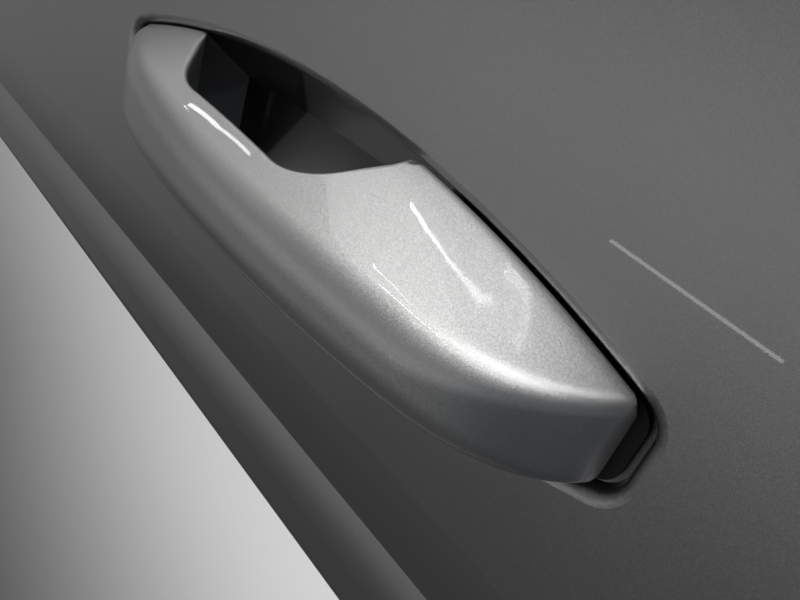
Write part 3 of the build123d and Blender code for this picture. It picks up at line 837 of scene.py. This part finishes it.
# %% [markdown]
# ## Weld studs
#
# Four studs of 5 mm are welded behind the skin. Each has a plain shank through the carrier's
# boss, and a thread of 0.8 mm pitch with a chamfered end for the nut. Along the thread the
# rows lie eight to a pitch, so that its crests and roots both show.

# %% Threaded weld studs
STUDS = ((-46.0, 40.0), (-46.0, -40.0), (72.0, 38.0), (72.0, -38.0))
STUD_R = 2.5
STUD_PITCH = 0.8
STUD_THREAD = (-13.4, -5.5)
STUD_THREAD_DEPTH = 0.42


def stud_thread(angle, along, radius):
    if STUD_THREAD[0] < along < STUD_THREAD[1]:
        return radius - STUD_THREAD_DEPTH * (1.0 - thread(angle, along, STUD_PITCH))
    return radius


stud_rows = [(-37.0, STUD_R), (-13.5, STUD_R)] + run(*STUD_THREAD, STUD_PITCH / 8, STUD_R)
stud_rows += [(-5.4, 2.15), (-5.0, 1.75)]
points, faces = [], []
for x, z in STUDS:
    turned(points, faces, (x, 0.0, z), "Y", stud_rows, 40, stud_thread)
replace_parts(new_piece("weld_studs_threaded", "door", "plated_steel", points, faces), "weld_studs")

# %% [markdown]
# ## Flange nuts
#
# The nuts are pressed: a hexagon whose corners are turned off at the top, on a flange with a
# rounded edge. The whole nut is one turned section round a bore, and the hexagon is a rule
# that never lets the radius pass its flats.

# %% Flange nuts
NUT_SEAT = -12.0
NUT_HALF_FLATS = 4.0
FLANGE_TOP = 1.45
BORE_SIDE_R = 3.4


def hexagon(angle, along, radius):
    if along < FLANGE_TOP or radius < BORE_SIDE_R:
        return radius
    return min(NUT_HALF_FLATS / cos((angle + pi / 6) % (pi / 3) - pi / 6), radius)


nut_rows = [
    (0.0, 2.8), (0.0, 5.3), (0.08, 5.5), (0.25, 5.6), (0.55, 5.6), (0.85, 5.45), (1.3, 4.95),
    (1.5, 4.7), (3.7, 4.7), (3.95, 4.55), (4.2, 4.25), (4.5, 3.85), (4.5, 3.0), (4.2, 2.55),
    (0.3, 2.55),
]
points, faces = [], []
for x, z in STUDS:
    turned(points, faces, (x, NUT_SEAT, z), "Y", nut_rows, 72, hexagon, bored=True)
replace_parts(new_piece("flange_nuts_pressed", "door", "plated_steel", points, faces), "flange_nuts")

# %% [markdown]
# ## Brass inserts
#
# Each insert sits in a boss of the carrier. Two knurled bands keep it from turning, a groove
# between them lets the plastic grip it, and its bore has a thread of 1 mm pitch for the screw
# from the door's inner frame. Knurl and thread are both changes of radius with the angle.

# %% Brass inserts
INSERT_R = 4.5
BORE_R = 2.5
BORE_PITCH = 1.0
BORE_THREAD = (-10.5, -0.6)
BORE_THREAD_DEPTH = 0.35
KNURLS = ((-9.8, -6.2), (-4.8, -1.2))
KNURL_DEPTH = 0.3
KNURL_WAVES = 12


def insert_shape(angle, along, radius):
    if radius == INSERT_R and any(low < along < high for low, high in KNURLS):
        return radius - KNURL_DEPTH * abs(sin(KNURL_WAVES * angle))
    if radius == BORE_R and BORE_THREAD[0] < along < BORE_THREAD[1]:
        return radius + BORE_THREAD_DEPTH * (1.0 - thread(angle, along, BORE_PITCH))
    return radius


insert_rows = [(-10.7, 2.8), (-11.0, 3.1), (-11.0, 4.2), (-10.7, INSERT_R), (-10.0, INSERT_R)]
insert_rows += [(-9.7, INSERT_R), (-6.3, INSERT_R), (-6.0, 4.1), (-5.0, 4.1), (-4.7, INSERT_R)]
insert_rows += [(-1.3, INSERT_R), (-1.0, INSERT_R), (-0.3, INSERT_R), (0.0, 4.25), (0.0, 3.15)]
insert_rows += run(-0.55, -10.55, BORE_PITCH / 8, BORE_R)
points, faces = [], []
for x in (-INSERT_X, INSERT_X):
    turned(points, faces, (x, 0.0, 0.0), "Y", insert_rows, 96, insert_shape, bored=True)
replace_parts(new_piece("brass_inserts_tapped", "door", "insert_brass", points, faces), "brass_inserts")

# %% [markdown]
# ## Pins and the weight
#
# The hinge pin is dropped in from above and stopped by its domed head. The crank's pin has
# chamfered ends with the small centre holes that the lathe leaves. The weight is cast, so its
# edges are round, it has a thin seam where the two halves of the die met, and a shallow round
# mark of an ejector pin at each end.

# %% Hinge pin and crank pin
HINGE_PIN_PLACE = (102.0, -24.0, 0.0)
CRANK_PIN_PLACE = (0.0, -13.5, -24.0)

points, faces = [], []
pin_rows = [(-12.0, 1.9), (-11.5, 2.5), (11.9, 2.5), (12.0, 3.6), (12.12, 3.9), (12.35, 4.0)]
pin_rows += [(12.7, 3.95), (13.0, 3.65), (13.25, 3.1), (13.45, 2.3), (13.56, 1.3), (13.6, 0.5)]
turned(points, faces, HINGE_PIN_PLACE, "Z", pin_rows)
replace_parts(new_piece("hinge_pin_domed", "door", "plated_steel", points, faces), "hinge_pin")

points, faces = [], []
pin_rows = [(-104.2, 0.3), (-105.0, 0.9), (-105.0, 2.1), (-104.6, 2.5), (-65.4, 2.5), (-65.0, 2.1)]
pin_rows += [(-65.0, 0.9), (-65.8, 0.3)]
turned(points, faces, CRANK_PIN_PLACE, "X", pin_rows)
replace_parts(new_piece("crank_pin_centred", "door", "plated_steel", points, faces), "crank_pin")

# %% Counterweight
WEIGHT_PLACE = (-84.5, -8.475, -38.13)
WEIGHT_LENGTH = 12.0
WEIGHT_R = 6.0
SEAM_HEIGHT = 0.12
SEAM_WIDTH = 0.06


def die_seam(angle, along, radius):
    if radius == WEIGHT_R:
        return radius + SEAM_HEIGHT * max(0.0, 1.0 - abs(sin(angle)) / SEAM_WIDTH)
    return radius


points, faces = [], []
weight_rows = [(0.25, 2.0), (0.25, 2.8), (0.0, 3.0), (0.0, 5.2), (0.1, 5.6), (0.35, 5.88)]
weight_rows.append((0.7, WEIGHT_R))
weight_rows += [(WEIGHT_LENGTH - along, radius) for along, radius in reversed(weight_rows)]
turned(points, faces, WEIGHT_PLACE, "X", weight_rows, 96, die_seam)
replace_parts(new_piece("counterweight_cast", "crank", "cast_zinc", points, faces), "counterweight")

# %% [markdown]
# ## Marks of the mould on the carrier
#
# A moulded part tells how it was made. The carrier's back has the round marks of ejector
# pins, the nub where the plastic ran in, and a small dial whose arrow a toolmaker turns to the
# month. Each mark is a closed body that stands a little way out of the plate.

# %% Ejector marks, gate and dial
PLATE_BACK = -12.0
MARK_ROOT = -0.4
EJECTORS = ((66.0, 16.0), (66.0, -16.0), (88.0, 16.0), (88.0, -16.0), (117.0, 0.0), (-64.0, 16.0))
GATE_PLACE = (25.5, PLATE_BACK, 20.9)
DIAL_X = 77.0
DIAL_PLACE = (DIAL_X, PLATE_BACK, 0.0)
MONTH_R = 3.4

points, faces = [], []
for x, z in EJECTORS:
    turned(points, faces, (x, PLATE_BACK, z), "Y", [(MARK_ROOT, 2.6), (0.12, 2.6), (0.2, 2.5)], 40)
gate = [(MARK_ROOT, 0.78), (0.1, 0.72), (0.7, 0.6), (0.85, 0.42), (0.7, 0.18)]
turned(points, faces, GATE_PLACE, "Y", gate, 32)
dial = [(MARK_ROOT, 4.6), (0.22, 4.6), (0.3, 4.5), (0.3, 4.2), (0.22, 4.1), (MARK_ROOT, 4.1)]
turned(points, faces, DIAL_PLACE, "Y", dial, 64, bored=True)
turned(points, faces, DIAL_PLACE, "Y", [(MARK_ROOT, 1.5), (0.22, 1.5), (0.3, 1.4)], 40)


def bar(points, faces, centre, length, width, height, turn):
    # A small bar with sloping sides that lies on the plate
    start = len(points)
    ahead = Vector((cos(turn), 0.0, sin(turn)))
    side = Vector((-sin(turn), 0.0, cos(turn)))
    for level, shrink in ((MARK_ROOT, 1.0), (height, 0.75)):
        for u, v in ((-1, -1), (1, -1), (1, 1), (-1, 1)):
            place = Vector(centre) + ahead * (u * length / 2) + side * (v * width / 2 * shrink)
            points.append((place + Vector((0.0, level, 0.0))) * MM)
    faces += [tuple(start + k for k in corners) for corners in (
        (0, 1, 2, 3), (4, 7, 6, 5), (0, 4, 5, 1), (1, 5, 6, 2), (2, 6, 7, 3), (3, 7, 4, 0),
    )]


for month in range(12):
    angle = 2 * pi * month / 12
    centre = (DIAL_X + MONTH_R * cos(angle), PLATE_BACK, MONTH_R * sin(angle))
    bar(points, faces, centre, 0.8, 0.3, 0.22, angle)
bar(points, faces, (DIAL_X + 1.9, PLATE_BACK, 1.1), 1.6, 0.4, 0.28, radians(30))
new_piece("carrier_mould_marks", "door", "carrier_plastic", points, faces)

# %% [markdown]
# ## Floor
#
# The part is shown in a plain studio, not in the photograph's surroundings. A sheet of pale,
# matt paper lies 60 cm below it, as the studio's floor and not as a piece of the part. Its
# near edge fades out, because the skin would otherwise mirror it as a bright line under the
# grip.

# %% Pale floor
FLOOR_Z = -0.6
FLOOR_X = (-2.4, 1.6)
FLOOR_Y = (0.11, 2.2)
FADED_IN_Y = 0.7

bench = start_finish("floor_paper")
near_edge = bench.part_of(bench.place(), "Y").between(FLOOR_Y[0], FADED_IN_Y)
end_finish(bench, {"Base Color": grey(0.72), "Roughness": 0.9}, {"Alpha": near_edge})

corners = ((0, 0), (1, 0), (1, 1), (0, 1))
mesh = bpy.data.meshes.new("floor")
mesh.from_pydata([(FLOOR_X[i], FLOOR_Y[j], FLOOR_Z) for i, j in corners], [], [(0, 1, 2, 3)])
mesh.materials.append(FINISHES["floor_paper"])
sheet = bpy.data.objects.new("floor", mesh)
scene.collection.objects.link(sheet)
print("floor from x", FLOOR_X[0], "to", FLOOR_X[1], "and from y", FLOOR_Y[0], "to", FLOOR_Y[1])

# %% [markdown]
# ## World
#
# Metallic paint has little colour of its own, so most of its shading is the room that it
# mirrors. The world is that room: a brightness for each direction, made of a few smooth steps.
# It glows at the horizon, is darker above and straight below, falls off towards both ends of
# the handle and is bright behind the door. Towards the hinge end it is a little blue, because
# the outer face of the handle is bluish there in the photograph.

# %% A room of smooth steps
DARKEST = 0.055
HORIZON_GLOW = 0.34
SKY_LOSS = 0.25
FAR_SKY_GLOW = 0.4
NEAR_END_LOSS = 0.7
FAR_END_LOSS = 0.55
BEHIND_GLOW = 0.75
SKY_BLUE = (0.86, 0.97, 1.12, 1.0)

world = bpy.data.worlds.new("studio")
world.use_nodes = True
scene.world = world
bench = Bench(world.node_tree)
direction = bench.node("TexCoord", {}, {}, "Generated")
nearwards, backwards, upwards = (bench.part_of(direction, axis) for axis in "XYZ")
farwards = 0.0 - nearwards
room = DARKEST + upwards.between(-0.65, -0.1) * HORIZON_GLOW - upwards.between(-0.05, 0.25) * SKY_LOSS
far_sky = farwards.between(0.55, 0.9) * upwards.between(0.1, 0.5) * FAR_SKY_GLOW
near_end = 1.0 - nearwards.between(0.3, 0.6) * NEAR_END_LOSS
far_end = 1.0 - farwards.between(0.6, 0.95) * FAR_END_LOSS
front = room * near_end * far_end + far_sky
level = front + backwards.between(0.05, 0.6) * (BEHIND_GLOW - front)
tint = bench.mix_colours(nearwards.between(0.2, 0.6), grey(1.0), SKY_BLUE)
background = bench.node("Background", {}, {"Color": tint, "Strength": level})
bench.node("OutputWorld", {}, {"Surface": background})
print("world has", len(bench.tree.nodes), "nodes")

# %% [markdown]
# ## Lamps overhead
#
# Two wide, flat lamps hang level above the door, like softboxes in a studio, and light the
# flank and the crest. A lamp is given by its radiance, which is how bright it looks, and the
# energy follows from its area, so that its size can change and its brightness stays. The
# camera doesn't see the lamps themselves, only their light and their mirror images.

# %% Level lamps
OVERHEAD_TURN = Matrix.Rotation(radians(-17), 4, "Z")

# Place, width, depth and radiance
OVERHEADS = {
    "overhead": ((-0.12, 0.225, 0.9), 1.6, 0.9, 1.26),
    "near overhead": ((0.33, -0.36, 0.89), 1.05, 0.6, 1.45),
}


def flat_lamp(name, placing, width, height, radiance):
    # A flat lamp that shines along its own -Z
    lamp = bpy.data.lights.new(name, "AREA")
    lamp.shape = "RECTANGLE"
    lamp.size = width
    lamp.size_y = height
    lamp.energy = radiance * pi * width * height
    holder = bpy.data.objects.new(name, lamp)
    holder.visible_camera = False
    scene.collection.objects.link(holder)
    holder.matrix_world = placing


for name, (spot, width, depth, radiance) in OVERHEADS.items():
    flat_lamp(name, Matrix.Translation(spot) @ OVERHEAD_TURN, width, depth, radiance)
    print(name, "lamp,", width, "by", depth, "m")

# %% [markdown]
# ## Where a mirrored lamp hangs
#
# The photograph has thin bright streaks on the paint, which are lamps seen in the lacquer. A
# lamp shows where the way back from the camera, mirrored by the paint, leads to it. So its
# place is worked out backwards: a ray leaves the camera through a pixel on the streak, meets a
# painted piece and goes on as a ball goes on from a wall, and the lamp hangs on it. The
# surface's direction there is that of a plane laid through a small patch of hits, because one
# hit gives only the direction of one flat face.

# %% Rays from the camera, mirrored by the paint
PHOTO_SIZE = (800, 600)
PIXELS_AHEAD = PHOTO_SIZE[0] * LENS / SENSOR_WIDTH
PATCH_PIXELS = 3.0
PATCH_STEPS = 24


def tree_of(mesh):
    places = [vertex.co.copy() for vertex in mesh.vertices]
    return BVHTree.FromPolygons(places, [tuple(face.vertices) for face in mesh.polygons])


PAINTED = (tree_of(grip_piece.data), tree_of(nodes["door_skin"].data))


def ray_through(x, y):
    right = CAMERA_RIGHT * ((x - PHOTO_SIZE[0] / 2) / PIXELS_AHEAD)
    down = camera_up * ((PHOTO_SIZE[1] / 2 - y) / PIXELS_AHEAD)
    return (camera_forward + right + down).normalized()


def landing(x, y, tree):
    return tree.ray_cast(CAMERA_PLACE, ray_through(x, y))[0]


def mirrored_at(x, y):
    # Where the ray through a pixel lands, in millimetres, and which way it goes on
    landed = [(landing(x, y, tree), tree) for tree in PAINTED]
    landed = [(hit, tree) for hit, tree in landed if hit is not None]
    hit, tree = min(landed, key=lambda pair: (pair[0] - CAMERA_PLACE).length)
    patch = []
    for k in range(PATCH_STEPS):
        angle = 2 * pi * k / PATCH_STEPS
        for reach in (PATCH_PIXELS / 2, PATCH_PIXELS):
            patch.append(landing(x + reach * cos(angle), y + reach * sin(angle), tree))
    patch = np.array([spot for spot in patch if spot is not None])
    normal = Vector(np.linalg.svd(patch - patch.mean(axis=0))[2][2])
    return hit / MM, ray_through(x, y).reflect(normal)


# %% [markdown]
# ## The streaks
#
# Much of the flank mirrors the skin, so rays from there take one more bounce off it. The skin
# is flat up to a height and crowned above, which a short formula says more smoothly than the
# faces of its mesh. Each streak is a row of lamp tubes from pixel to pixel, and each tube of a
# row is narrower than the one before, so that the streak tapers.

# %% Lamp tubes for the streaks
LAMP_DISTANCE = 2.0
TUBE_AIM = Vector((0.05, -0.05, 0.01))
TAPER = 0.22
CROWN_START = 48.0
CROWN_RISE = 0.9 / CROWN_START ** 2
CROWN_ROUNDS = 4

# Width and radiance of the tubes, whether the skin mirrors them too, and the streak's pixels
STREAKS = {
    "thin": (0.010, 10.0, False, ((373, 267), (394, 291), (425, 316))),
    "far": (0.014, 7.0, False, ((189, 104), (219, 128), (250, 155))),
    "skin": (0.011, 3.8, False, ((610, 240), (783, 362))),
    "thick": (0.022, 24.0, True, ((411, 203), (427, 228), (448, 263), (480, 306), (509, 338))),
    "fan": (0.006, 28.0, True, ((505, 268), (531, 312))),
    "tip": (0.010, 12.0, True, ((592, 388), (612, 398))),
}


def after_skin(place, direction):
    # Where the ray meets the skin, and which way it goes on from there
    depth = 0.0
    for _ in range(CROWN_ROUNDS):
        bounce = place + direction * ((SKIN_Y + depth - place.y) / direction.y)
        above = max(bounce.z - CROWN_START, 0.0)
        depth = CROWN_RISE * above ** 2
    normal = Vector((0.0, -1.0, 2 * CROWN_RISE * above)).normalized()
    return bounce, direction.reflect(normal)


def tube(name, start, end, width, radiance):
    # A long thin lamp between two places, turned to face the handle
    middle = (start + end) / 2
    back = (middle - TUBE_AIM).normalized()
    side = end - start
    side = (side - back * side.dot(back)).normalized()
    turn = Matrix((side, back.cross(side), back)).transposed().to_4x4()
    flat_lamp(name, Matrix.Translation(middle) @ turn, (end - start).length, width, radiance)


for name, (width, radiance, by_skin, pixels) in STREAKS.items():
    ends = []
    for pixel in pixels:
        place, direction = mirrored_at(*pixel)
        if by_skin:
            place, direction = after_skin(place, direction)
        ends.append(place * MM + direction * LAMP_DISTANCE)
    for i, (first, second) in enumerate(zip(ends, ends[1:])):
        tube("tube " + name, first, second, width * (1.0 - TAPER * i), radiance)
    print("streak", name, "from", len(ends) - 1, "tubes, first at", [round(v, 2) for v in ends[0]])
